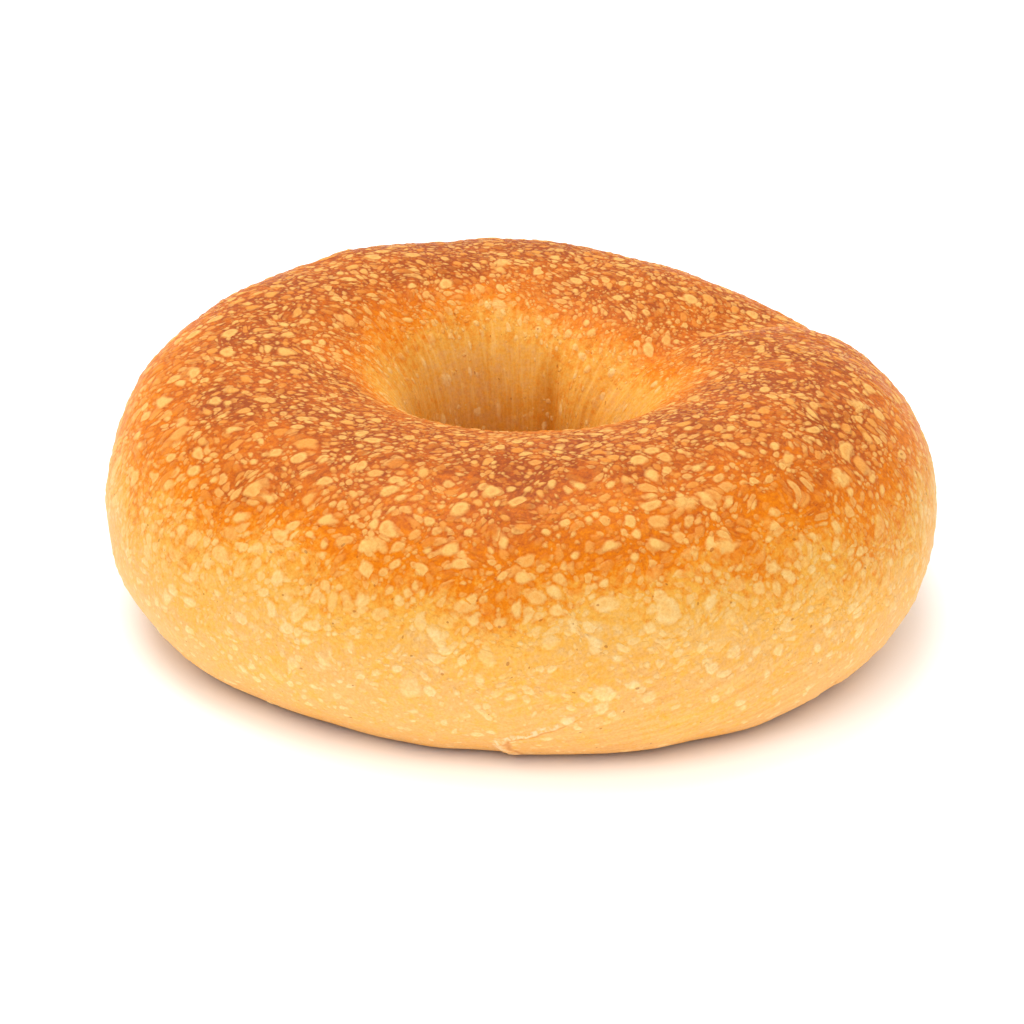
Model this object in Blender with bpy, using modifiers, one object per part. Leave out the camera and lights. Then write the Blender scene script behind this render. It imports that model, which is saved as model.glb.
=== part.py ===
"""Bagel: one hand-rolled ring of dough, boiled and baked, as one closed solid.

The ring's section is a soft rounded oval, pressed flat where it rests. Its rim, its hole and its
crown swell and sink a little on the way round. Where the rope of dough was joined, the thick lapped
end stands above a crease at the back right, and its tail makes a low bulge at the front.

Metres, +Z up. The front is towards -Y and the bagel rests on Z = 0.
"""

import bpy
import numpy as np

MM = 0.001

# Driving sizes
RIM_RADIUS = 56.0 * MM
HOLE_RADIUS = 12.8 * MM
CROWN_HEIGHT = 36.9 * MM
WAIST_HEIGHT = 17.0 * MM
BELLY_DEPTH = 19.7 * MM
SECTION_SQUARENESS = 2.15
BASE_ROUNDING = 1.6 * MM

# Slow swells round the ring: (waves round, cosine share, sine share)
RIM_SWELLS = ((2, 0.2 * MM, -0.6 * MM), (3, -0.7 * MM, -0.9 * MM))
HOLE_SWELLS = ((1, -1.4 * MM, 0.4 * MM), (2, 0.0, -1.9 * MM))
CROWN_SWELLS = ((1, -0.7 * MM, 0.8 * MM), (2, 0.0, -1.1 * MM))

# The crease behind the lapped end, in degrees round from the right-hand side
CREASE_PLACE = 29.0
CREASE_SLANT = 2.0
CREASE_STEEP_SIDE = 9.0
CREASE_EASY_SIDE = 20.0
CREASE_DEPTH = 2.4 * MM
CREASE_RIM_DENT = 0.5 * MM
CREASE_WALL_DENT = 1.5 * MM

# The tail of the rope, pressed on low at the front
TAIL_PLACE = -74.0
TAIL_REACH = 20.0
TAIL_BULGE = 0.6 * MM

# Cage
RING_SEGMENTS = 48
SECTION_SEGMENTS = 24
SMOOTHING_LEVELS = 1

# Baked crust, linear colour
CRUST_COLOUR = (0.67, 0.28, 0.068, 1.0)
CRUST_ROUGHNESS = 0.45


def clear_scene():
    """Remove every object that is already in the scene."""
    for obj in list(bpy.data.objects):
        bpy.data.objects.remove(obj, do_unlink=True)


def swell(turn, base, swells):
    """A size that changes slowly round the ring: its base plus a few sine and cosine waves."""
    size = np.full_like(turn, base)
    for waves, cosine_share, sine_share in swells:
        size += cosine_share * np.cos(waves * turn) + sine_share * np.sin(waves * turn)
    return size


def degrees_from(turn, place):
    """Signed angle in degrees from a place on the ring, between -180 and 180."""
    return (np.degrees(turn) - place + 180.0) % 360.0 - 180.0


def crease(turn, outward):
    """How far into the crease a point lies, 0 to 1: steep on the lapped end, easy behind it."""
    offset = degrees_from(turn, CREASE_PLACE - CREASE_SLANT * outward)
    side = np.where(offset < 0.0, CREASE_STEEP_SIDE, CREASE_EASY_SIDE)
    return np.exp(-((offset / side) ** 2))


def oval_power(value):
    """Signed power that turns a circle's sine or cosine into that of a slightly square oval."""
    return np.sign(value) * np.abs(value) ** (2.0 / SECTION_SQUARENESS)


def press_flat(height):
    """Smooth maximum of a height and zero: what would hang below the base is pressed flat."""
    share = np.clip(0.5 + 0.5 * height / BASE_ROUNDING, 0.0, 1.0)
    return height * share + BASE_ROUNDING * share * (1.0 - share)


def dough_surface(turn, lap):
    """Point on the bagel for a turn round the ring and a lap round its section, in radians.

    The lap starts outward at the rim, goes up over the crown and down through the hole. The section
    is an oval between rim and hole, taller above the waist or below it by its own half-heights.
    """
    rim = swell(turn, RIM_RADIUS, RIM_SWELLS)
    hole = swell(turn, HOLE_RADIUS, HOLE_SWELLS)
    crown = swell(turn, CROWN_HEIGHT, CROWN_SWELLS)
    outward = np.cos(lap)
    upward = np.sin(lap)
    across = oval_power(outward)
    rise = oval_power(upward)

    radius = 0.5 * (rim + hole) + 0.5 * (rim - hole) * across
    half_height = np.where(upward > 0.0, crown - WAIST_HEIGHT, BELLY_DEPTH)
    height = WAIST_HEIGHT + half_height * rise

    depth = crease(turn, outward) * np.clip(upward, 0.0, 1.0)
    rim_side = np.clip(outward, 0.0, 1.0)
    wall_side = np.clip(-outward, 0.0, 1.0)
    height -= CREASE_DEPTH * depth * (1.0 - 0.55 * rim_side)
    radius += (CREASE_WALL_DENT * wall_side - CREASE_RIM_DENT * rim_side) * depth

    tail = np.exp(-((degrees_from(turn, TAIL_PLACE) / TAIL_REACH) ** 2))
    radius += TAIL_BULGE * tail * rim_side * np.clip(-rise, 0.0, 1.0)
    return radius * np.cos(turn), radius * np.sin(turn), press_flat(height)


def read_points(mesh):
    """The mesh's points as an array with one row each."""
    points = np.empty(len(mesh.vertices) * 3)
    mesh.vertices.foreach_get("co", points)
    return points.reshape(-1, 3)


def write_points(mesh, points):
    """Put an array of points back into the mesh."""
    mesh.vertices.foreach_set("co", points.ravel())
    mesh.update()


def shape_cage(mesh, major_radius):
    """Move each point of a plain torus to the same turn and lap on the bagel."""
    points = read_points(mesh)
    from_axis = np.hypot(points[:, 0], points[:, 1])
    turn = np.arctan2(points[:, 1], points[:, 0])
    lap = np.arctan2(points[:, 2], from_axis - major_radius)
    write_points(mesh, np.stack(dough_surface(turn, lap), axis=-1))


def centre_on_origin(obj):
    """Slide the cage in its mesh until the smoothed ring's box is centred over the origin."""
    bpy.context.view_layer.update()
    smoothed = obj.evaluated_get(bpy.context.evaluated_depsgraph_get())
    outline = read_points(smoothed.data)
    middle = 0.5 * (outline.min(axis=0) + outline.max(axis=0))
    middle[2] = outline[:, 2].min()
    write_points(obj.data, read_points(obj.data) - middle)


def crust_material():
    """Semi-gloss baked crust."""
    material = bpy.data.materials.new("crust")
    material.use_nodes = True
    shader = material.node_tree.nodes["Principled BSDF"]
    shader.inputs["Base Color"].default_value = CRUST_COLOUR
    shader.inputs["Roughness"].default_value = CRUST_ROUGHNESS
    shader.inputs["Metallic"].default_value = 0.0
    material.diffuse_color = CRUST_COLOUR
    return material


def make_bagel(collection):
    """Torus cage, shaped, smoothed and centred."""
    major_radius = 0.5 * (RIM_RADIUS + HOLE_RADIUS)
    minor_radius = 0.5 * (RIM_RADIUS - HOLE_RADIUS)
    bpy.ops.mesh.primitive_torus_add(
        major_segments=RING_SEGMENTS,
        minor_segments=SECTION_SEGMENTS,
        major_radius=major_radius,
        minor_radius=minor_radius,
    )
    bagel = bpy.context.active_object
    bagel.name = "bagel"
    bagel.data.name = "bagel"
    shape_cage(bagel.data, major_radius)

    smoothing = bagel.modifiers.new("Rounded dough", "SUBSURF")
    smoothing.levels = SMOOTHING_LEVELS
    smoothing.render_levels = SMOOTHING_LEVELS
    centre_on_origin(bagel)

    bagel.data.materials.append(crust_material())
    for old in list(bagel.users_collection):
        old.objects.unlink(bagel)
    collection.objects.link(bagel)
    return bagel


def main():
    clear_scene()
    collection = bpy.data.collections.new("Bagel")
    bpy.context.scene.collection.children.link(collection)
    make_bagel(collection)


main()
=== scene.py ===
"""Finish for a baked bagel: its blistered golden crust and a plain pale studio.

The crust is one closed skin, worked out with numpy as a grid over the ring. It repeats the shape of
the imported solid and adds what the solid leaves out: slow lumps, blisters, large flakes, the lapped
tail's flaky edge, the fine stretch lines of the dough, a sharper foot to the crease, and the upright
wrinkles and the fold inside the hole. The larger blisters follow a cell noise that is the same in the
mesh and in the crust's material, so each pale spot sits on its own small dome.

Lengths in the shape functions are in millimetres, unless a name says otherwise.
"""

import math

import bpy
import numpy as np
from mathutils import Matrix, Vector


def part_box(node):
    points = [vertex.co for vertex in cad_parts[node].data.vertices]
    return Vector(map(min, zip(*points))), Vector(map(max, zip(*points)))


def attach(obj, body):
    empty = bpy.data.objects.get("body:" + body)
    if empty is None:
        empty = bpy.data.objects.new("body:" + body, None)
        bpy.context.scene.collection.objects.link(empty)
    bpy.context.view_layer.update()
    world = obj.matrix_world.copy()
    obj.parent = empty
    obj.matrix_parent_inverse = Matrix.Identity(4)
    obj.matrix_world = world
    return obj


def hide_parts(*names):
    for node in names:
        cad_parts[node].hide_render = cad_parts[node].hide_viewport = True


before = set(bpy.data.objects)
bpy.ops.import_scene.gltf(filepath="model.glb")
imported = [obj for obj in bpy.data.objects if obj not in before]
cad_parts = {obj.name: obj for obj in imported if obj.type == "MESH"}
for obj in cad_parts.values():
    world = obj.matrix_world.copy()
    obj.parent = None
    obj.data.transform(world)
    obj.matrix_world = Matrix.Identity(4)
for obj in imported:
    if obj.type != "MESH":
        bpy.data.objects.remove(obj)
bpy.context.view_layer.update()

bl_info = {
    "name": "Baked Bagel Finish",
    "version": (1, 0, 0),
    "blender": (4, 5, 0),
    "location": "View3D > Sidebar > Bagel",
    "description": "Builds a bagel's blistered crust and a plain studio around it",
    "category": "Object",
}

MM = 0.001
NODE = "bagel"
PLACE_ATTRIBUTE = "crust_place"
PLANE_ATTRIBUTE = "crust_plane"
BAKE_ATTRIBUTE = "crust_bake"
PLENTY_ATTRIBUTE = "crust_plenty"
DRAWN_ATTRIBUTE = "crust_drawn"
TAIL_ATTRIBUTE = "crust_tail"
FLAKE_AND_SHADE_ATTRIBUTE = "crust_flake_and_shade"
BAKE_MAP = "OFBake"


# ---------------------------------------------------------------- settings


class BagelShape(bpy.types.PropertyGroup):
    """Sizes of the ring of dough."""

    rim_radius: bpy.props.FloatProperty(
        name="Rim radius", description="Axis to rim", default=56.0 * MM, unit="LENGTH"
    )
    hole_radius: bpy.props.FloatProperty(
        name="Hole radius", description="Axis to the hole's wall", default=12.8 * MM, unit="LENGTH"
    )
    crown_height: bpy.props.FloatProperty(
        name="Crown height", description="Base to crown", default=36.9 * MM, unit="LENGTH"
    )
    waist_height: bpy.props.FloatProperty(
        name="Waist height", description="Base to the widest level", default=17.0 * MM, unit="LENGTH"
    )
    belly_depth: bpy.props.FloatProperty(
        name="Belly depth", description="Waist to the unpressed belly", default=19.7 * MM, unit="LENGTH"
    )
    lump_height: bpy.props.FloatProperty(
        name="Lump height", description="Slow lumps in the dough", default=0.28 * MM, unit="LENGTH"
    )
    blister_height: bpy.props.FloatProperty(
        name="Blister height", description="Height of a large blister", default=0.15 * MM, unit="LENGTH"
    )
    turn_steps: bpy.props.IntProperty(
        name="Steps round the ring", description="Columns of the crust's grid", default=560, min=48
    )
    lap_steps: bpy.props.IntProperty(
        name="Steps round the section", description="Rows of the crust's grid", default=178, min=24
    )


class CrustLook(bpy.types.PropertyGroup):
    """Colours of the crust."""

    pale_side: bpy.props.FloatVectorProperty(
        name="Pale side", description="Dough low on the side", subtype="COLOR_GAMMA",
        default=(0.95, 0.735, 0.44),
    )
    golden_side: bpy.props.FloatVectorProperty(
        name="Golden side", description="Crust on the side", subtype="COLOR_GAMMA",
        default=(0.98, 0.73, 0.31),
    )
    orange_shoulder: bpy.props.FloatVectorProperty(
        name="Orange shoulder", description="Crust on the shoulder", subtype="COLOR_GAMMA",
        default=(0.95, 0.53, 0.03),
    )
    red_crown: bpy.props.FloatVectorProperty(
        name="Red crown", description="Well baked crust", subtype="COLOR_GAMMA",
        default=(0.84, 0.43, 0.10),
    )
    dark_crown: bpy.props.FloatVectorProperty(
        name="Dark crown", description="Darkest crust", subtype="COLOR_GAMMA",
        default=(0.66, 0.31, 0.11),
    )
    orange_blister: bpy.props.FloatVectorProperty(
        name="Orange blister", description="Half-browned blister on the crown", subtype="COLOR_GAMMA",
        default=(0.96, 0.62, 0.26),
    )
    # Painted shade: the colour the crust is darkened toward deep in the hole and in its fold
    painted_hole_shade: bpy.props.FloatVectorProperty(
        name="Hole shade", description="Crust deep in the hole", subtype="COLOR_GAMMA",
        default=(0.80, 0.48, 0.0),
    )
    # Painted contact shade: brown along the foot, where the crust meets the floor
    painted_foot_shade: bpy.props.FloatVectorProperty(
        name="Base brown", description="Thin edge where the dough met the tray", subtype="COLOR_GAMMA",
        default=(0.70, 0.42, 0.17),
    )
    pale_blister: bpy.props.FloatVectorProperty(
        name="Pale blister", description="Blister on the side", subtype="COLOR_GAMMA",
        default=(1.0, 0.87, 0.62),
    )
    cream_blister: bpy.props.FloatVectorProperty(
        name="Cream blister", description="Blister on the shoulder", subtype="COLOR_GAMMA",
        default=(1.0, 0.80, 0.46),
    )
    tan_blister: bpy.props.FloatVectorProperty(
        name="Tan blister", description="Blister on the crown", subtype="COLOR_GAMMA",
        default=(1.0, 0.76, 0.42),
    )


class StudioSettings(bpy.types.PropertyGroup):
    """Camera and lights."""

    elevation: bpy.props.FloatProperty(
        name="Camera elevation", description="Angle above the floor",
        default=math.radians(25.2), unit="ROTATION",
    )
    distance: bpy.props.FloatProperty(
        name="Camera distance", description="From the aim point", default=0.363, unit="LENGTH"
    )
    focal_length: bpy.props.FloatProperty(
        name="Focal length", description="Lens, on a 36 mm sensor", default=91.4, unit="CAMERA"
    )
    world_strength: bpy.props.FloatProperty(
        name="Surround strength", description="White light from all round", default=0.65
    )
    key_power: bpy.props.FloatProperty(
        name="Key power", description="Large soft lamp overhead", default=4.0, unit="POWER"
    )
    floor_power: bpy.props.FloatProperty(
        name="Floor power", description="Soft lamp that lights the floor alone", default=3.9,
        unit="POWER",
    )


# ---------------------------------------------------------------- shape of the dough


RIM_SWELLS = ((2, 0.2, -0.6), (3, -0.7, -0.9))
HOLE_SWELLS = ((1, -1.4, 0.4), (2, 0.0, -1.9))
CROWN_SWELLS = ((1, -0.7, 0.8), (2, 0.0, -1.1))
SQUARENESS = 2.15
BASE_ROUNDING = 1.6
CREASE_PLACE, CREASE_SLANT = 29.0, 2.0
CREASE_STEEP_SIDE, CREASE_EASY_SIDE = 9.0, 20.0
CREASE_DEPTH, CREASE_RIM_DENT, CREASE_WALL_DENT = 2.4, 0.5, 1.5
TAIL_PLACE, TAIL_REACH, TAIL_BULGE = -74.0, 20.0, 0.6


def smooth_step(low, high, value):
    """Zero below low, one above high, and a smooth cubic rise between them."""
    share = np.clip((value - low) / (high - low), 0.0, 1.0)
    return share * share * (3.0 - 2.0 * share)


def lap_window(lap_degrees, rise, fall):
    """One between two spans of lap, in degrees, zero outside them, with smooth edges across both."""
    return smooth_step(*rise, lap_degrees) * (1.0 - smooth_step(*fall, lap_degrees))


def swell(turn, base, swells):
    """A size that changes slowly round the ring: its base plus a few cosine and sine waves."""
    size = np.full_like(turn, base)
    for waves, cosine_share, sine_share in swells:
        size += cosine_share * np.cos(waves * turn) + sine_share * np.sin(waves * turn)
    return size


def degrees_from(turn, place):
    """Signed angle in degrees from a place on the ring, between -180 and 180."""
    return (np.degrees(turn) - place + 180.0) % 360.0 - 180.0


def crease(turn, outward):
    """How far into the crease a point lies: a bell curve, steep on one side and easy on the other."""
    offset = degrees_from(turn, CREASE_PLACE - CREASE_SLANT * outward)
    side = np.where(offset < 0.0, CREASE_STEEP_SIDE, CREASE_EASY_SIDE)
    return np.exp(-((offset / side) ** 2))


def oval_power(value):
    """Signed power that turns a circle's sine or cosine into that of a slightly square oval."""
    return np.sign(value) * np.abs(value) ** (2.0 / SQUARENESS)


def press_flat(height):
    """Smooth maximum of a height and zero: what would hang below the base is pressed flat."""
    share = np.clip(0.5 + 0.5 * height / BASE_ROUNDING, 0.0, 1.0)
    return height * share + BASE_ROUNDING * share * (1.0 - share)


def dough_surface(turn, lap, shape):
    """Point on the plain dough for a turn round the ring and a lap round its section, in radians.

    The lap starts outward at the rim, goes up over the crown and down through the hole. The section
    is an oval between rim and hole, with its own half-height above and below the waist.
    """
    rim = swell(turn, shape.rim_radius / MM, RIM_SWELLS)
    hole = swell(turn, shape.hole_radius / MM, HOLE_SWELLS)
    crown = swell(turn, shape.crown_height / MM, CROWN_SWELLS)
    waist = shape.waist_height / MM
    outward = np.cos(lap)
    upward = np.sin(lap)
    across = oval_power(outward)
    rise = oval_power(upward)

    radius = 0.5 * (rim + hole) + 0.5 * (rim - hole) * across
    height = waist + np.where(upward > 0.0, crown - waist, shape.belly_depth / MM) * rise

    depth = crease(turn, outward) * np.clip(upward, 0.0, 1.0)
    rim_side = np.clip(outward, 0.0, 1.0)
    wall_side = np.clip(-outward, 0.0, 1.0)
    height -= CREASE_DEPTH * depth * (1.0 - 0.55 * rim_side)
    radius += (CREASE_WALL_DENT * wall_side - CREASE_RIM_DENT * rim_side) * depth

    tail = np.exp(-((degrees_from(turn, TAIL_PLACE) / TAIL_REACH) ** 2))
    radius += TAIL_BULGE * tail * rim_side * np.clip(-rise, 0.0, 1.0)
    return np.stack((radius * np.cos(turn), radius * np.sin(turn), press_flat(height)), axis=-1)


def lap_stations(count):
    """Laps of the grid's rows, closer together over the rim, shoulder and crown than underneath.

    The spacing is inverse to a density of one plus a cosine that peaks at sixty degrees of lap.
    """
    fine = np.linspace(-math.pi, math.pi, 4001)
    density = 1.0 + 0.42 * np.cos(fine - math.radians(60.0))
    total = np.concatenate(([0.0], np.cumsum(0.5 * (density[1:] + density[:-1]))))
    wanted = np.arange(count) / count * total[-1]
    return np.interp(wanted, total, fine)


def grid_normals(points):
    """Unit normals of a grid closed both ways: the cross product of its two central differences."""
    round_ring = np.roll(points, -1, axis=0) - np.roll(points, 1, axis=0)
    round_section = np.roll(points, -1, axis=1) - np.roll(points, 1, axis=1)
    normals = np.cross(round_ring, round_section)
    return normals / np.linalg.norm(normals, axis=-1, keepdims=True)


# ---------------------------------------------------------------- cell noise


def rotate_bits(value, steps):
    """Turn 32-bit whole numbers left by a number of bits."""
    return (value << np.uint32(steps)) | (value >> np.uint32(32 - steps))


def final_scramble(a, b, c):
    """Last stage of the lookup hash: seven rounds of exclusive or, turn and subtract."""
    c = (c ^ b) - rotate_bits(b, 14)
    a = (a ^ c) - rotate_bits(c, 11)
    b = (b ^ a) - rotate_bits(a, 25)
    c = (c ^ b) - rotate_bits(b, 16)
    a = (a ^ c) - rotate_bits(c, 4)
    b = (b ^ a) - rotate_bits(a, 14)
    return (c ^ b) - rotate_bits(b, 24)


def hash_two(x, y):
    """Hash of two 32-bit whole numbers."""
    seed = np.uint32((0xDEADBEEF + (2 << 2) + 13) & 0xFFFFFFFF)
    return final_scramble(x + seed, y + seed, np.full_like(x, seed))


def hash_three(x, y, z):
    """Hash of three 32-bit whole numbers."""
    seed = np.uint32((0xDEADBEEF + (3 << 2) + 13) & 0xFFFFFFFF)
    return final_scramble(x + seed, y + seed, z + seed)


def cell_randoms(cells):
    """Three random numbers for each flat cell; the first two are also its point's place inside it."""
    x, y = (np.float32(cells[..., i] + 0.0).view(np.uint32) for i in range(2))
    one, two = (np.full_like(x, np.float32(value).view(np.uint32)) for value in (1.0, 2.0))
    parts = (hash_two(x, y), hash_three(x, y, one), hash_three(x, y, two))
    return np.stack(parts, axis=-1) / 4294967295.0


def nearest_cell_point(places, scale):
    """Distance, in cells, to the nearest of the points strewn one to a cell, and its randoms."""
    scaled = places * scale
    base = np.floor(scaled)
    nearest = np.full(scaled.shape[:-1], np.inf)
    randoms = np.zeros((*scaled.shape[:-1], 3))
    for step in np.ndindex(3, 3):
        cell = base + (np.array(step) - 1.0)
        chosen = cell_randoms(cell)
        distance = np.linalg.norm(cell + JITTER * chosen[..., :2] - scaled, axis=-1)
        closer = distance < nearest
        nearest = np.where(closer, distance, nearest)
        randoms[closer] = chosen[closer]
    return nearest, randoms


# How far a point strays from its cell's corner, as a share of the cell
JITTER = 0.85
# Blister layers: cell size in mm on the crown, softness of the edge in cells, smallest and largest
# radius in cells, share of cells that rise, tone of the dullest, height as a share of the full
# blister height, and whether the mesh carries it
BLISTERS = (
    {"cell": 3.5, "edge": 0.10, "small": 0.13, "large": 0.31, "share": 0.38, "dullest": 0.55,
     "height": 1.0, "in_mesh": True},
    {"cell": 1.95, "edge": 0.14, "small": 0.19, "large": 0.41, "share": 0.85, "dullest": 0.15,
     "height": 0.8, "in_mesh": True},
    {"cell": 1.15, "edge": 0.18, "small": 0.22, "large": 0.50, "share": 0.93, "dullest": 0.15,
     "height": 0.5, "in_mesh": False},
    {"cell": 0.72, "edge": 0.22, "small": 0.22, "large": 0.52, "share": 0.93, "dullest": 0.15,
     "height": 0.3, "in_mesh": False},
)


def blister_domes(places, layer, plenty):
    """Height of one blister layer, 0 to 1: a soft dome round each cell's point.

    The dome's radius goes from small to large with the cell's first random number, and only cells
    whose second random number is below the layer's share times the plenty there rise at all.
    """
    distance, randoms = nearest_cell_point(places, 1.0 / layer["cell"])
    radius = layer["small"] + (layer["large"] - layer["small"]) * randoms[..., 0]
    dome = 1.0 - smooth_step(radius * 0.35, radius * 1.05, distance)
    return dome * (randoms[..., 1] < layer["share"] * plenty)


# ---------------------------------------------------------------- relief


def wave_noise(places, wavelength, seed, waves=18):
    """Soft noise, about -1 to 1: a sum of plane sine waves in random directions."""
    chance = np.random.default_rng(seed)
    heading = chance.normal(size=(waves, 3))
    heading /= np.linalg.norm(heading, axis=1, keepdims=True)
    length = wavelength * chance.uniform(0.7, 1.5, waves)
    phase = chance.uniform(0.0, 2.0 * math.pi, waves)
    total = np.zeros(places.shape[:-1])
    for i in range(waves):
        total += np.sin(places @ heading[i] * (2.0 * math.pi / length[i]) + phase[i])
    return total / math.sqrt(0.5 * waves) * 0.6


SEAM_TURN, SEAM_LAP, SEAM_SLOPE = -83.0, -16.0, 0.55
SEAM_STEP, SEAM_FLAKE = 0.24, 0.22
STRETCH_HEIGHT = 0.055
# Rough length of one degree round the ring and round the section, in mm
RING_DEGREE, SECTION_DEGREE = 0.95, 0.38


def seam_offset(turn, lap, places):
    """Signed distance in mm across the tail's edge, a slanting line with a ragged run."""
    line = SEAM_TURN + SEAM_SLOPE * (np.maximum(np.degrees(lap), -34.0) - SEAM_LAP)
    across = degrees_from(turn, line) * RING_DEGREE
    return across + 0.45 * wave_noise(places, 2.0, 31) + 0.9 * wave_noise(places, 9.0, 32)


def seam_strength(lap):
    """How open the tail's edge is, 0 to 1: widest low on the side, closed halfway up."""
    return lap_window(np.degrees(lap), (-75.0, -45.0), (-30.0, -10.0))


def seam_relief(lap, across, places):
    """Tail's edge: the dough steps up, with a thin ragged flake along the step, and eases off."""
    strength = seam_strength(lap)
    step = smooth_step(-0.5, 0.5, across) * np.exp(-np.clip(across, 0.0, None) / 9.0)
    flake = np.exp(-(((across - 0.3) / 0.55) ** 2)) * (0.6 + 0.4 * wave_noise(places, 1.6, 33))
    return strength * (SEAM_STEP * step + SEAM_FLAKE * flake)


def stretched_dough(turn, lap):
    """Places drawn out along the rope's twist, in mm, and how strongly the dough is stretched there.

    Along the twist, which climbs to the right, lengths count a tenth, so noise turns into long lines.
    On the hole's wall the lines stand upright: there it is the height that counts little.
    """
    round_ring = np.degrees(turn) * RING_DEGREE
    round_section = np.degrees(lap) * SECTION_DEGREE
    along = round_ring * 0.92 + round_section * 0.40
    across = round_section * 0.92 - round_ring * 0.40
    lap_degrees = np.degrees(lap) % 360.0
    wall = (lap_degrees > 90.0) & (lap_degrees < 270.0)
    drawn = np.stack((np.where(wall, turn * 24.0, along * 0.10),
                      np.where(wall, round_section * 0.12 + 40.0, across),
                      np.zeros_like(along)), axis=-1)
    signed = (lap_degrees + 180.0) % 360.0 - 180.0
    low = lap_window(signed, (-75.0, -50.0), (-5.0, 28.0))
    near_tail = np.exp(-((degrees_from(turn, -66.0) / 24.0) ** 2))
    inside = lap_window(lap_degrees, (112.0, 150.0), (240.0, 268.0))
    return drawn, np.maximum(low * (0.12 + 0.55 * near_tail), 0.8 * inside)


WRINKLE_HEIGHT = 0.10
FOLD_DEPTH, FOLD_PLACE, FOLD_REACH = 1.1, 76.0, 6.5


def wall_wrinkles(turn, lap):
    """Upright wrinkles on the hole's wall: sine waves round the ring that fade over the crown."""
    chance = np.random.default_rng(7)
    total = np.zeros_like(turn)
    for waves in (9, 14, 23, 31, 44, 57, 71, 90):
        lean = chance.uniform(-0.25, 0.25)
        phase = chance.uniform(0.0, 2.0 * math.pi)
        total += np.sin(waves * (turn + lean * (lap - math.pi)) + phase) * (20.0 / (waves + 20.0))
    return total * lap_window(np.degrees(lap) % 360.0, (110.0, 150.0), (235.0, 265.0))


def wall_fold(turn, lap):
    """One deeper upright fold at the back of the hole's wall, 0 to 1."""
    inside = lap_window(np.degrees(lap) % 360.0, (138.0, 165.0), (215.0, 250.0))
    return inside * np.exp(-((degrees_from(turn, FOLD_PLACE) / FOLD_REACH) ** 2))


def painted_wall_shade(turn, lap):
    """How much painted shade the hole's wall gets, 0 to 1: more toward the floor and in the fold."""
    deep = lap_window(np.degrees(lap) % 360.0, (152.0, 202.0), (250.0, 290.0))
    return np.clip(0.9 * deep + 0.5 * wall_fold(turn, lap), 0.0, 1.0)


def foot_contact_shade(points):
    """How strong the painted brown contact shade along the foot is, 0 to 1: full on the floor, gone two
    millimetres up.
    """
    ragged = 0.35 * wave_noise(points, 7.0, 95) + 0.15 * wave_noise(points, 2.0, 96)
    return 1.0 - smooth_step(0.2, 1.8, points[..., 2] + ragged)


FLAKE_HEIGHT, FLAKE_REACH = 0.12, 3.0
# Large pale flakes: turn and lap of the middle in degrees, length and width in mm, lean in degrees
FLAKES = (
    (-66.0, 57.0, 3.6, 2.0, 8.0),
    (-63.0, 38.0, 3.2, 1.9, -14.0),
    (-40.0, 48.0, 3.2, 2.6, 20.0),
    (-112.0, 40.0, 3.0, 1.8, 10.0),
    (96.0, 100.0, 3.0, 2.0, 60.0),
    (-20.0, 62.0, 2.8, 2.0, 30.0),
    (-158.0, 55.0, 2.8, 1.7, 25.0),
    (128.0, 70.0, 3.0, 1.8, -20.0),
)


def flake_cover(points, normals, shape):
    """Where the large flakes lie, 0 to 1: ragged ovals round their middles.

    Each is measured in the plane that touches the crust at its middle, along a direction that leans
    from the ring's own by the flake's lean.
    """
    ragged = 0.22 * wave_noise(points, 1.7, 91) + 0.12 * wave_noise(points, 0.9, 92)
    cover = np.zeros(points.shape[:-1])
    for turn, lap, length, width, lean in FLAKES:
        place = np.radians(np.array([[turn]])), np.radians(np.array([[lap]]))
        middle = dough_surface(*place, shape)[0, 0]
        ring = np.array([-math.sin(place[0][0, 0]), math.cos(place[0][0, 0]), 0.0])
        nearest = np.unravel_index(np.argmin(np.linalg.norm(points - middle, axis=-1)), cover.shape)
        up = np.cross(normals[nearest], ring)
        lean = math.radians(lean)
        along = (points - middle) @ (ring * math.cos(lean) + up * math.sin(lean))
        across = (points - middle) @ (up * math.cos(lean) - ring * math.sin(lean))
        away = (points - middle) @ normals[nearest]
        oval = (along / (0.5 * length)) ** 2 + (across / (0.5 * width)) ** 2
        distance = np.sqrt(oval + (away / FLAKE_REACH) ** 2)
        cover = np.maximum(cover, 1.0 - smooth_step(0.72, 1.05, distance + ragged))
    return cover


CREASE_FOLD, CREASE_NEAR, CREASE_FAR = 1.3, 5.5, 13.0


def crease_fold(turn, lap):
    """Extra depth at the foot of the crease, 0 to 1, steep toward the near lobe, crown to wall."""
    offset = degrees_from(turn, CREASE_PLACE + 1.0)
    across = np.exp(-((offset / np.where(offset < 0.0, CREASE_NEAR, CREASE_FAR)) ** 2))
    return across * lap_window(np.degrees(lap) % 360.0, (30.0, 75.0), (160.0, 205.0))


# Ring radius in mm where the pattern has its true size, lean of the twist, and how far it is drawn
PATTERN_RADIUS = 34.0
PATTERN_LEAN = math.radians(28.0)
PATTERN_STRETCH = 0.94


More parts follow.
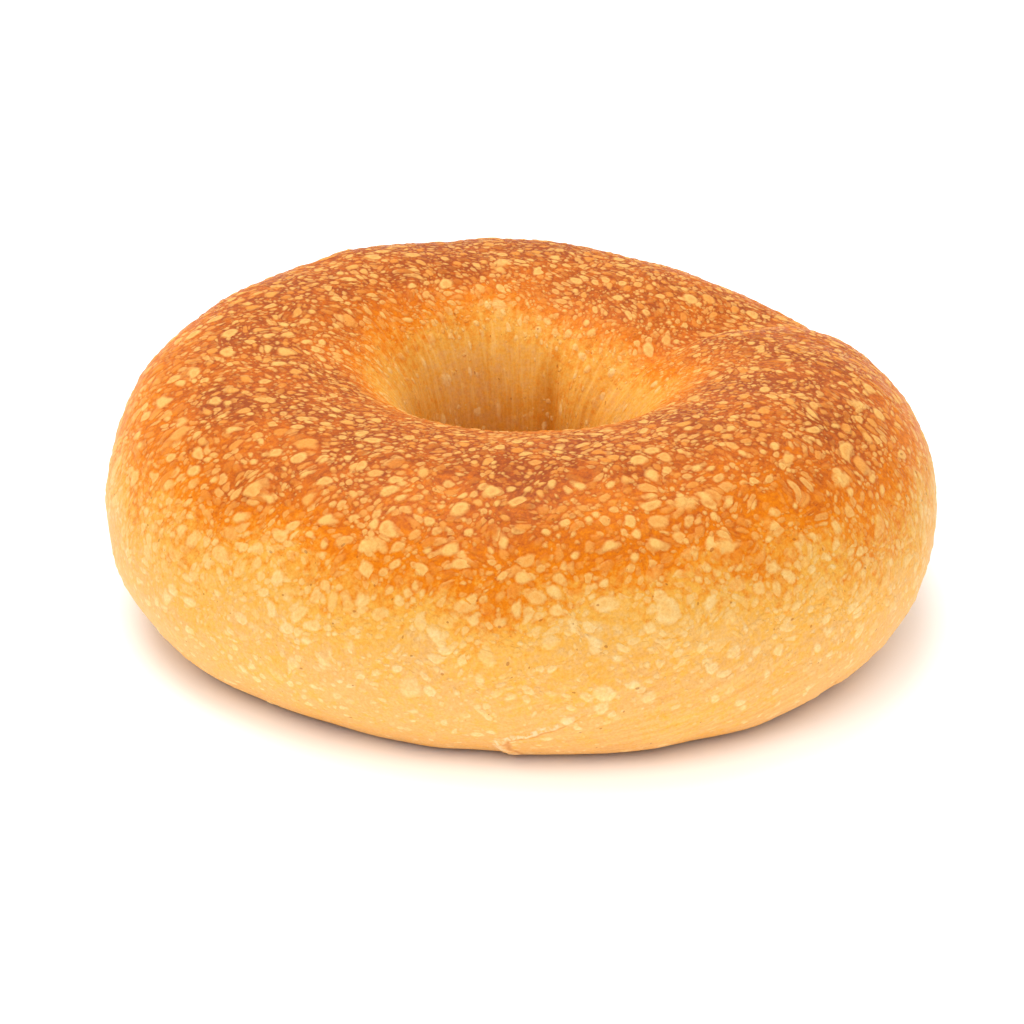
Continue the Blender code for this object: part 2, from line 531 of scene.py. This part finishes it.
def section_sum(lap, points):
    """Running sum, round the section from the base outward, of arc length over distance from the axis.

    Down the hole's wall the length counts about half, which makes the pattern's spots tall there.
    The sum is zero on the crown and falls outward.
    """
    start = int(np.argmin(np.abs(lap[0] + 0.5 * math.pi)))
    rolled = np.roll(points, -start, axis=1)
    lap_degrees = np.degrees(np.roll(lap, -start, axis=1)) % 360.0
    inside = lap_window(lap_degrees, (95.0, 160.0), (230.0, 265.0))
    middle = 0.5 * (rolled[:, 1:] + rolled[:, :-1])
    step = np.linalg.norm(rolled[:, 1:] - rolled[:, :-1], axis=-1)
    step *= (1.0 - 0.5 * inside[:, 1:]) / np.linalg.norm(middle[..., :2], axis=-1)
    total = np.concatenate((np.zeros((len(lap), 1)), np.cumsum(step, axis=1)), axis=1)
    crown = int(np.argmin(np.abs(lap[0] - 0.5 * math.pi)))
    total = np.roll(total, start, axis=1)
    return total - total[:, crown:crown + 1]


def pattern_plane(turn, lap, points):
    """The crust rolled out flat, in mm, where the blisters' cells are laid out.

    The size of the turn and the section's running sum are drawn out a little along the rope's twist,
    halved, and taken as the angle and the logarithm of the distance on a plane. That keeps spots in
    shape and nearly one size from rim to hole. Last, the plane is softly bent.
    """
    ring, section = np.abs(turn), section_sum(lap, points)
    sine, cosine = math.sin(PATTERN_LEAN), math.cos(PATTERN_LEAN)
    along = PATTERN_STRETCH * (section * sine - ring * cosine)
    across = (section * cosine + ring * sine) / PATTERN_STRETCH
    angle = 0.5 * (across * sine - along * cosine)
    distance = 2.0 * PATTERN_RADIUS * np.exp(-0.5 * (across * cosine + along * sine))
    plane = [distance * np.cos(angle), distance * np.sin(angle)]
    for i in range(2):
        plane[i] += 0.5 * wave_noise(points, 6.0, 51 + i) + 0.12 * wave_noise(points, 2.6, 61 + i)
    return np.stack(plane, axis=-1)


def browning(turn, lap, points, normals):
    """How far the crust is baked, 0 to 1: by how high and how upward it faces, with soft patches."""
    lap_degrees = np.degrees(lap) % 360.0
    up = normals[..., 2]
    level = 0.92 * np.clip((up + 0.75) / 1.75, 0.0, 1.0) ** 2.2
    later = 9.0 * np.exp(-((degrees_from(turn, 155.0) / 38.0) ** 2))
    inside = smooth_step(107.0, 146.0, lap_degrees - later)
    inside *= 1.0 - smooth_step(240.0, 290.0, lap_degrees)
    level = level * (1.0 - 0.8 * inside) + 0.12 * inside
    level -= 0.12 * crease(turn, np.cos(lap)) * np.clip(np.sin(lap), 0.0, 1.0)
    level += 0.06 * wave_noise(points, 24.0, 71) + 0.04 * wave_noise(points, 9.0, 72)
    return np.clip(level, 0.0, 1.0)


def blister_plenty(lap, points, normals):
    """How much the crust blisters, 0 to 1: well on top, less low on the side or down the hole."""
    height = points[..., 2] / points[..., 2].max()
    plenty = 0.25 + 0.75 * smooth_step(0.15, 0.60, height)
    lap_degrees = np.degrees(lap) % 360.0
    plenty *= 1.0 - 0.75 * smooth_step(118.0, 150.0, lap_degrees) * (lap_degrees < 270.0)
    plenty *= smooth_step(-0.95, -0.55, normals[..., 2])
    return plenty * (1.0 + 0.18 * wave_noise(points, 14.0, 81))


def fit_to_box(points, lows, highs):
    """Move and scale points so that their box is the one given."""
    own_low = points.reshape(-1, 3).min(axis=0)
    own_high = points.reshape(-1, 3).max(axis=0)
    return lows + (points - own_low) * (highs - lows) / (own_high - own_low)


def crust_grid(shape):
    """Points in metres over the whole skin, and what the material reads there, by attribute name.

    Points are the plain dough fitted to the solid's box, moved along the normal by the sum of all
    relief, which fades out at the floor. Grids are closed both ways.
    """
    turns = np.arange(shape.turn_steps) / shape.turn_steps * 2.0 * math.pi - math.pi
    turn, lap = np.meshgrid(turns, lap_stations(shape.lap_steps), indexing="ij")
    points = dough_surface(turn, lap, shape)
    normals = grid_normals(points)
    plane = pattern_plane(turn, lap, points)
    drawn, stretched = stretched_dough(turn, lap)
    plenty = blister_plenty(lap, points, normals) * (1.0 - 0.6 * stretched)

    lumps = wave_noise(points, 26.0, 11) + 0.35 * wave_noise(points, 9.0, 12)
    relief = shape.lump_height / MM * lumps
    blisters = np.zeros_like(turn)
    for layer in BLISTERS:
        if layer["in_mesh"]:
            blisters = np.maximum(blisters, layer["height"] * blister_domes(plane, layer, plenty))
    relief += shape.blister_height / MM * blisters
    flakes = flake_cover(points, normals, shape)
    relief += FLAKE_HEIGHT * flakes
    seam = seam_offset(turn, lap, points)
    relief += seam_relief(lap, seam, points)
    lines = wave_noise(drawn, 2.2, 41) + 0.6 * wave_noise(drawn, 1.1, 42)
    relief += STRETCH_HEIGHT * stretched * lines
    relief += WRINKLE_HEIGHT * wall_wrinkles(turn, lap) - FOLD_DEPTH * wall_fold(turn, lap)
    relief -= CREASE_FOLD * crease_fold(turn, lap)
    relief *= smooth_step(0.0, 1.2, points[..., 2])

    bake = browning(turn, lap, points, normals)
    lows, highs = (np.array(corner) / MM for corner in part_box(NODE))
    fitted = fit_to_box(points, lows, highs) + normals * relief[..., None]
    fitted[..., 2] = np.maximum(fitted[..., 2], 0.0)
    values = {
        PLACE_ATTRIBUTE: points,
        PLANE_ATTRIBUTE: np.concatenate((plane, np.zeros_like(plane[..., :1])), axis=-1),
        BAKE_ATTRIBUTE: bake,
        PLENTY_ATTRIBUTE: plenty,
        DRAWN_ATTRIBUTE: drawn,
        # Pale flakes, then painted shade on the hole's wall, then painted contact shade along the foot
        FLAKE_AND_SHADE_ATTRIBUTE: np.stack((flakes, painted_wall_shade(turn, lap), foot_contact_shade(points)), axis=-1),
        TAIL_ATTRIBUTE: np.stack((seam, seam_strength(lap), stretched), axis=-1),
    }
    return fitted * MM, values


# Empty edge of each unrolled strip, as a share of its width
STRIP_GAP = 0.004


def grid_faces(columns, rows):
    """Corner numbers of the four-sided faces of a grid closed both ways."""
    column, row = np.meshgrid(np.arange(columns), np.arange(rows), indexing="ij")
    next_column = (column + 1) % columns
    next_row = (row + 1) % rows
    corners = (column * rows + row, next_column * rows + row,
               next_column * rows + next_row, column * rows + next_row)
    return np.stack(corners, axis=-1).reshape(-1, 4)


def unrolled_places(columns, rows, first_row):
    """Unrolled place of every face corner: the ring's two halves as two strips, one above the other.

    Across a strip runs half the turn, up it the section, which is cut open at its first row.
    """
    column, row = np.meshgrid(np.arange(columns), np.arange(rows), indexing="ij")
    half = columns // 2
    level = (row - first_row) % rows
    corners = []
    for column_step, row_step in ((0, 0), (1, 0), (1, 1), (0, 1)):
        across = STRIP_GAP + (1.0 - 2.0 * STRIP_GAP) * (column % half + column_step) / half
        up = STRIP_GAP + (1.0 - 2.0 * STRIP_GAP) * (level + row_step) / rows
        corners.append(np.stack((across, 0.5 * (up + column // half)), axis=-1))
    return np.stack(corners, axis=2).reshape(-1, 2)


def store_attribute(mesh, name, values):
    """Keep one number or one vector for each point of the mesh."""
    if values.ndim == 2:
        attribute = mesh.attributes.new(name, "FLOAT", "POINT")
        attribute.data.foreach_set("value", values.astype(np.float32).ravel())
    else:
        attribute = mesh.attributes.new(name, "FLOAT_VECTOR", "POINT")
        attribute.data.foreach_set("vector", values.astype(np.float32).ravel())


def grid_object(name, points):
    """Smooth-shaded mesh object from a grid of points closed both ways."""
    columns, rows = points.shape[:2]
    mesh = bpy.data.meshes.new(name)
    faces = grid_faces(columns, rows)
    mesh.from_pydata(points.reshape(-1, 3).tolist(), [], faces.tolist())
    mesh.update()
    mesh.shade_smooth()
    obj = bpy.data.objects.new(name, mesh)
    bpy.context.scene.collection.objects.link(obj)
    return obj


# ---------------------------------------------------------------- crust material


def linear(colour):
    """Linear RGBA from a display colour: the power curve above the toe, a straight line in it."""
    channels = [c / 12.92 if c <= 0.04045 else ((c + 0.055) / 1.055) ** 2.4 for c in colour]
    return (*channels, 1.0)


class NodeBench:
    """Small helper that adds nodes to one node tree and links their sockets."""

    def __init__(self, tree):
        self.tree = tree

    def add(self, kind, **settings):
        node = self.tree.nodes.new(kind)
        for name, value in settings.items():
            setattr(node, name, value)
        return node

    def plug(self, socket, value):
        """Link a socket to another, or set its value."""
        if isinstance(value, bpy.types.NodeSocket):
            self.tree.links.new(value, socket)
        else:
            socket.default_value = value

    def math(self, operation, a, b=0.0, c=0.0, clamp=False):
        node = self.add("ShaderNodeMath", operation=operation, use_clamp=clamp)
        for socket, value in zip(node.inputs, (a, b, c)):
            self.plug(socket, value)
        return node.outputs[0]

    def span(self, value, low, high, out_low=0.0, out_high=1.0):
        """Smooth rise from one value to another as the input crosses a span."""
        node = self.add("ShaderNodeMapRange", interpolation_type="SMOOTHSTEP")
        for socket, item in zip(node.inputs, (value, low, high, out_low, out_high)):
            self.plug(socket, item)
        return node.outputs[0]

    def mix(self, share, a, b, blend="MIX"):
        node = self.add("ShaderNodeMix", data_type="RGBA", blend_type=blend)
        self.plug(node.inputs["Factor"], share)
        self.plug(node.inputs["A"], a)
        self.plug(node.inputs["B"], b)
        return node.outputs["Result"]

    def ramp(self, value, stops):
        node = self.add("ShaderNodeValToRGB")
        elements = node.color_ramp.elements
        while len(elements) < len(stops):
            elements.new(0.5)
        for element, (position, colour) in zip(elements, stops):
            element.position = position
            element.color = colour
        self.plug(node.inputs["Fac"], value)
        return node.outputs["Color"]

    def noise(self, vector, scale, detail=2.0, roughness=0.5):
        node = self.add("ShaderNodeTexNoise")
        self.plug(node.inputs["Vector"], vector)
        self.plug(node.inputs["Scale"], scale)
        self.plug(node.inputs["Detail"], detail)
        self.plug(node.inputs["Roughness"], roughness)
        return node

    def split(self, value, vector=False):
        """The three channels of a colour or a vector."""
        node = self.add("ShaderNodeSeparateXYZ" if vector else "ShaderNodeSeparateColor")
        self.plug(node.inputs[0], value)
        return node.outputs[0], node.outputs[1], node.outputs[2]

    def attribute(self, name):
        return self.add("ShaderNodeAttribute", attribute_name=name)


def frayed_plane(bench, place):
    """Pattern plane with a fine wobble, so that blister edges aren't quite round."""
    wobble = bench.noise(place, 1.0, detail=3.0)
    centred = bench.add("ShaderNodeVectorMath", operation="SUBTRACT")
    bench.plug(centred.inputs[0], wobble.outputs["Color"])
    centred.inputs[1].default_value = (0.5, 0.5, 0.5)
    moved = bench.add("ShaderNodeVectorMath", operation="MULTIPLY_ADD")
    bench.plug(moved.inputs[0], centred.outputs[0])
    moved.inputs[1].default_value = (0.42, 0.42, 0.0)
    bench.plug(moved.inputs[2], bench.attribute(PLANE_ATTRIBUTE).outputs["Vector"])
    return moved.outputs[0]


def blister_layer(bench, vector, layer, plenty):
    """Masks, tone and dullest tone of one blister layer, from the same cells as the mesh.

    The mask is the blister itself, the crevice shade a ring of painted shade just outside it, the
    dome its height, and the hollow the middle of a wide one.
    """
    cells = bench.add("ShaderNodeTexVoronoi", voronoi_dimensions="2D", feature="F1")
    bench.plug(cells.inputs["Vector"], vector)
    cells.inputs["Scale"].default_value = 1.0 / layer["cell"]
    cells.inputs["Randomness"].default_value = JITTER
    parts = bench.split(cells.outputs["Color"])
    radius = bench.math("MULTIPLY_ADD", parts[0], layer["large"] - layer["small"], layer["small"])
    rises = bench.math("LESS_THAN", parts[1], bench.math("MULTIPLY", plenty, layer["share"]))
    inside = bench.math("SUBTRACT", radius, cells.outputs["Distance"])
    mask = bench.math("MULTIPLY", bench.span(inside, -0.04, layer["edge"]), rises)
    # Painted crevice shade: a ring just outside the blister
    crevice_shade = bench.math("MULTIPLY", bench.span(inside, -0.16, 0.0), rises)
    depth = bench.math("DIVIDE", inside, radius)
    dome = bench.math("MULTIPLY", bench.span(depth, 0.0, 0.7), rises)
    wide = bench.math("GREATER_THAN", parts[0], 0.62)
    hollow = bench.math("MULTIPLY", bench.span(depth, 0.35, 0.8), wide)
    return {"mask": mask, "crevice_shade": crevice_shade, "dome": dome, "tone": parts[2], "hollow": hollow,
            "dullest": layer["dullest"]}


def crust_colours(bench, look, bake, layers, flakes_and_shade):
    """Ground colour by how far the crust is baked, with paler blisters of many tones on it.

    Its flakes and shade are the large pale flakes, the painted shade on the hole's wall and the painted
    brown contact shade along the foot.
    """
    ground = bench.ramp(bake, (
        (0.0, linear(look.pale_side)),
        (0.24, linear(look.golden_side)),
        (0.53, linear(look.orange_shoulder)),
        (0.76, linear(look.red_crown)),
        (1.0, linear(look.dark_crown)),
    ))
    pale = bench.ramp(bake, (
        (0.0, linear(look.pale_blister)),
        (0.5, linear(look.cream_blister)),
        (1.0, linear(look.tan_blister)),
    ))
    # Ground darkened for the painted crevice shade round each blister
    deep = bench.mix(1.0, ground, (0.86, 0.70, 0.55, 1.0), "MULTIPLY")
    yolk = bench.mix(0.6, ground, pale)
    half_pale = bench.mix(0.35, ground, pale)
    between = bench.mix(bench.span(bake, 0.3, 0.6), half_pale, linear(look.orange_blister))
    # Painted shade deep in the hole and in its fold
    colour = bench.mix(bench.math("MULTIPLY", flakes_and_shade[1], 0.8), ground, linear(look.painted_hole_shade))
    for layer, strength in zip(reversed(layers), (0.55, 0.75, 0.9, 0.95)):
        # Painted crevice shade round each blister, stronger where the crust is more baked
        browned = bench.span(bake, 0.15, 0.6, 0.02, 0.38 * strength)
        colour = bench.mix(bench.math("MULTIPLY", layer["crevice_shade"], browned), colour, deep)
        tone = bench.span(layer["tone"], 0.0, 0.9, layer["dullest"], 1.0)
        spot = bench.mix(bench.math("MULTIPLY", layer["hollow"], 0.6), pale, yolk)
        warm = bench.mix(bench.span(tone, 0.0, 0.45), ground, between)
        spot = bench.mix(bench.span(tone, 0.35, 1.0), warm, spot)
        colour = bench.mix(bench.math("MULTIPLY", layer["mask"], strength), colour, spot)
    colour = bench.mix(bench.math("MULTIPLY", flakes_and_shade[0], 0.8), colour, pale)
    # Painted brown contact shade along the foot
    return bench.mix(bench.math("MULTIPLY", flakes_and_shade[2], 0.6), colour, linear(look.painted_foot_shade))


def stretch_tint(bench, colour, tail, shade):
    """Long pale and dark stretch lines, the tail's dry flaky edge and a painted shadow under it."""
    drawn = bench.attribute(DRAWN_ATTRIBUTE).outputs["Vector"]
    lines = bench.noise(drawn, 1.3, detail=3.0, roughness=0.6).outputs["Fac"]
    light = bench.math("MULTIPLY", bench.span(lines, 0.50, 0.70), tail[2])
    # Pale lines fade where the hole's wall carries painted shade
    light = bench.math("MULTIPLY", light, bench.span(shade, 0.0, 0.8, 1.0, 0.15))
    dark = bench.math("MULTIPLY", bench.span(lines, 0.50, 0.32), tail[2])
    colour = bench.mix(bench.math("MULTIPLY", light, 0.50), colour, linear((1.0, 0.82, 0.50)))
    colour = bench.mix(bench.math("MULTIPLY", dark, 0.40), colour, linear((0.86, 0.53, 0.15)))
    across, strength = tail[0], tail[1]
    edge = bench.math("MULTIPLY", bench.span(across, -0.9, -0.2), bench.span(across, 0.9, 0.2))
    place = bench.attribute(PLACE_ATTRIBUTE).outputs["Vector"]
    ragged = bench.span(bench.noise(place, 1.5).outputs["Fac"], 0.38, 0.6)
    edge = bench.math("MULTIPLY", bench.math("MULTIPLY", edge, strength), ragged)
    colour = bench.mix(bench.math("MULTIPLY", edge, 0.75), colour, linear((1.0, 0.88, 0.70)))
    # Painted shadow under the tail's flake: a thin orange-brown band just past the edge
    painted_flake_shadow = bench.math("MULTIPLY", bench.span(across, 0.5, 0.9), bench.span(across, 1.5, 1.0))
    painted_flake_shadow = bench.math("MULTIPLY", painted_flake_shadow, strength)
    return bench.mix(bench.math("MULTIPLY", painted_flake_shadow, 0.5), colour, linear((0.78, 0.44, 0.16)))


def dark_specks(bench, colour, plane):
    """Sparse brown specks a few tenths of a millimetre across."""
    speck = bench.add("ShaderNodeTexVoronoi", voronoi_dimensions="2D", feature="F1")
    bench.plug(speck.inputs["Vector"], plane)
    speck.inputs["Scale"].default_value = 0.36
    chosen = bench.split(speck.outputs["Color"])
    dot = bench.math("LESS_THAN", speck.outputs["Distance"], bench.math("MULTIPLY", chosen[0], 0.07))
    dot = bench.math("MULTIPLY", dot, bench.math("LESS_THAN", chosen[1], 0.45))
    return bench.mix(bench.math("MULTIPLY", dot, 0.5), colour, linear((0.62, 0.29, 0.09)))


def crust_material(look):
    """Baked crust: browned ground, pale blisters, painted shade, dark specks, soft gloss and fine
    relief.
    """
    material = bpy.data.materials.new("Blistered crust")
    material.use_nodes = True
    bench = NodeBench(material.node_tree)
    shader = material.node_tree.nodes["Principled BSDF"]
    place = bench.attribute(PLACE_ATTRIBUTE).outputs["Vector"]
    baked = bench.attribute(BAKE_ATTRIBUTE).outputs["Fac"]
    plenty = bench.attribute(PLENTY_ATTRIBUTE).outputs["Fac"]
    tail = bench.split(bench.attribute(TAIL_ATTRIBUTE).outputs["Vector"], vector=True)
    frayed = frayed_plane(bench, place)
    layers = [blister_layer(bench, frayed, layer, plenty) for layer in BLISTERS]

    patches = bench.noise(place, 0.13, detail=3.0).outputs["Fac"]
    mottle = bench.noise(place, 0.9, detail=5.0, roughness=0.72).outputs["Fac"]
    bake = bench.math("MULTIPLY_ADD", bench.math("SUBTRACT", patches, 0.5), 0.35, baked)
    bake = bench.math("MULTIPLY_ADD", bench.math("SUBTRACT", mottle, 0.5), 1.0, bake, clamp=True)
    flakes_and_shade = bench.split(bench.attribute(FLAKE_AND_SHADE_ATTRIBUTE).outputs["Vector"], vector=True)
    colour = crust_colours(bench, look, bake, layers, flakes_and_shade)
    grain = bench.noise(place, 2.8, detail=3.0, roughness=0.6).outputs["Fac"]
    grain_tint = bench.mix(bench.span(grain, 0.3, 0.7), (0.90, 0.82, 0.72, 1.0), (1.0, 1.0, 1.0, 1.0))
    colour = bench.mix(1.0, colour, grain_tint, "MULTIPLY")
    colour = stretch_tint(bench, colour, tail, flakes_and_shade[1])
    colour = dark_specks(bench, colour, bench.attribute(PLANE_ATTRIBUTE).outputs["Vector"])
    bench.plug(shader.inputs["Base Color"], colour)

    rough = bench.math("MULTIPLY_ADD", mottle, 0.18, 0.36)
    for layer in layers[:2]:
        rough = bench.math("MULTIPLY_ADD", layer["mask"], 0.06, rough)
    bench.plug(shader.inputs["Roughness"], rough)
    shader.inputs["Specular IOR Level"].default_value = 0.09

    height = 0.0
    for spec, layer in zip(BLISTERS, layers):
        share = spec["height"] * (0.4 if spec["in_mesh"] else 1.0)
        height = bench.math("MAXIMUM", height, bench.math("MULTIPLY", layer["dome"], share))
    height = bench.math("MULTIPLY_ADD", grain, 0.25, height)
    bump = bench.add("ShaderNodeBump")
    bump.inputs["Strength"].default_value = 0.8
    bump.inputs["Distance"].default_value = 0.2 * MM
    bench.plug(bump.inputs["Height"], height)
    bench.plug(shader.inputs["Normal"], bump.outputs["Normal"])
    return material


# ---------------------------------------------------------------- operators


class BAGEL_OT_crust(bpy.types.Operator):
    """Build the blistered crust in place of the plain solid"""

    bl_idname = "bagel.crust"
    bl_label = "Blistered Crust"

    def execute(self, context):
        shape = context.scene.bagel_shape
        points, values = crust_grid(shape)
        crust = grid_object("bagel_crust", points)
        for name, grid in values.items():
            store_attribute(crust.data, name, grid)
        first_row = int(np.argmin(np.abs(lap_stations(shape.lap_steps) + 0.5 * math.pi)))
        unrolled = crust.data.uv_layers.new(name=BAKE_MAP)
        unrolled.data.foreach_set("uv", unrolled_places(*points.shape[:2], first_row).ravel())
        crust.data.materials.append(crust_material(context.scene.crust_look))
        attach(crust, "root")
        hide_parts(NODE)
        return {"FINISHED"}


class BAGEL_OT_studio(bpy.types.Operator):
    """Set a pale floor, soft white light and the camera"""

    bl_idname = "bagel.studio"
    bl_label = "Studio"

    def execute(self, context):
        settings = context.scene.studio_settings
        floor = make_floor()
        make_surround(context.scene, settings.world_strength)
        make_softbox(context.scene, "Overhead softbox", KEY_PLACE, settings.key_power)
        floor_lamp = make_softbox(
            context.scene, "Floor softbox", FLOOR_LAMP_PLACE, settings.floor_power
        )
        light_only(floor_lamp, floor)
        make_camera(context.scene, settings)
        context.scene.view_settings.view_transform = "Standard"
        return {"FINISHED"}


FLOOR_SIZE = 4.0
SOFTBOX_SIZE = 0.6
KEY_PLACE = (-0.12, 0.12, 0.72)
FLOOR_LAMP_PLACE = (0.0, -0.45, 0.55)
AIM = (-1.1 * MM, 3.8 * MM, 9.8 * MM)


def make_floor():
    """Wide near-white floor just under the base."""
    bpy.ops.mesh.primitive_plane_add(size=FLOOR_SIZE, location=(0.0, 0.0, -0.02 * MM))
    floor = bpy.context.active_object
    floor.name = "floor"
    material = bpy.data.materials.new("Pale floor")
    material.use_nodes = True
    shader = material.node_tree.nodes["Principled BSDF"]
    shader.inputs["Base Color"].default_value = (0.93, 0.93, 0.93, 1.0)
    shader.inputs["Roughness"].default_value = 0.8
    shader.inputs["Specular IOR Level"].default_value = 0.1
    floor.data.materials.append(material)
    return floor


def make_surround(scene, strength):
    """White light from all round."""
    world = bpy.data.worlds.new("White surround")
    world.use_nodes = True
    background = world.node_tree.nodes["Background"]
    background.inputs["Color"].default_value = (1.0, 1.0, 1.0, 1.0)
    background.inputs["Strength"].default_value = strength
    scene.world = world


def make_softbox(scene, name, place, power):
    """Large round white lamp that faces the origin."""
    lamp = bpy.data.lights.new(name, "AREA")
    lamp.shape = "DISK"
    lamp.size = SOFTBOX_SIZE
    lamp.energy = power
    obj = bpy.data.objects.new(name, lamp)
    obj.location = place
    obj.rotation_euler = Vector(place).to_track_quat("Z", "Y").to_euler()
    scene.collection.objects.link(obj)
    return obj


def light_only(lamp, receiver):
    """Let a lamp light one object and nothing else."""
    receivers = bpy.data.collections.new(lamp.name + " receivers")
    receivers.objects.link(receiver)
    lamp.light_linking.receiver_collection = receivers


def make_camera(scene, settings):
    """Camera in front of the bagel, looking down at its aim point."""
    camera = bpy.data.cameras.new("Camera")
    camera.lens = settings.focal_length
    camera.sensor_width = 36.0
    obj = bpy.data.objects.new("Camera", camera)
    away = settings.distance
    obj.location = (
        AIM[0],
        AIM[1] - away * math.cos(settings.elevation),
        AIM[2] + away * math.sin(settings.elevation),
    )
    obj.rotation_euler = (math.pi / 2.0 - settings.elevation, 0.0, 0.0)
    scene.collection.objects.link(obj)
    scene.camera = obj


class BAGEL_PT_panel(bpy.types.Panel):
    """Buttons for the crust and the studio"""

    bl_label = "Bagel"
    bl_idname = "BAGEL_PT_panel"
    bl_space_type = "VIEW_3D"
    bl_region_type = "UI"
    bl_category = "Bagel"

    def draw(self, context):
        for operator in OPERATORS:
            self.layout.operator(operator.bl_idname)


OPERATORS = (BAGEL_OT_crust, BAGEL_OT_studio)
CLASSES = (BagelShape, CrustLook, StudioSettings, *OPERATORS, BAGEL_PT_panel)


def register():
    """Register the classes and hang the settings on the scene."""
    for cls in CLASSES:
        bpy.utils.register_class(cls)
    bpy.types.Scene.bagel_shape = bpy.props.PointerProperty(type=BagelShape)
    bpy.types.Scene.crust_look = bpy.props.PointerProperty(type=CrustLook)
    bpy.types.Scene.studio_settings = bpy.props.PointerProperty(type=StudioSettings)


def unregister():
    """Take the settings off the scene and unregister the classes."""
    del bpy.types.Scene.bagel_shape
    del bpy.types.Scene.crust_look
    del bpy.types.Scene.studio_settings
    for cls in reversed(CLASSES):
        bpy.utils.unregister_class(cls)


def main():
    """Build everything in order."""
    register()
    bpy.ops.bagel.studio()
    bpy.ops.bagel.crust()


if __name__ == "__main__":
    main()
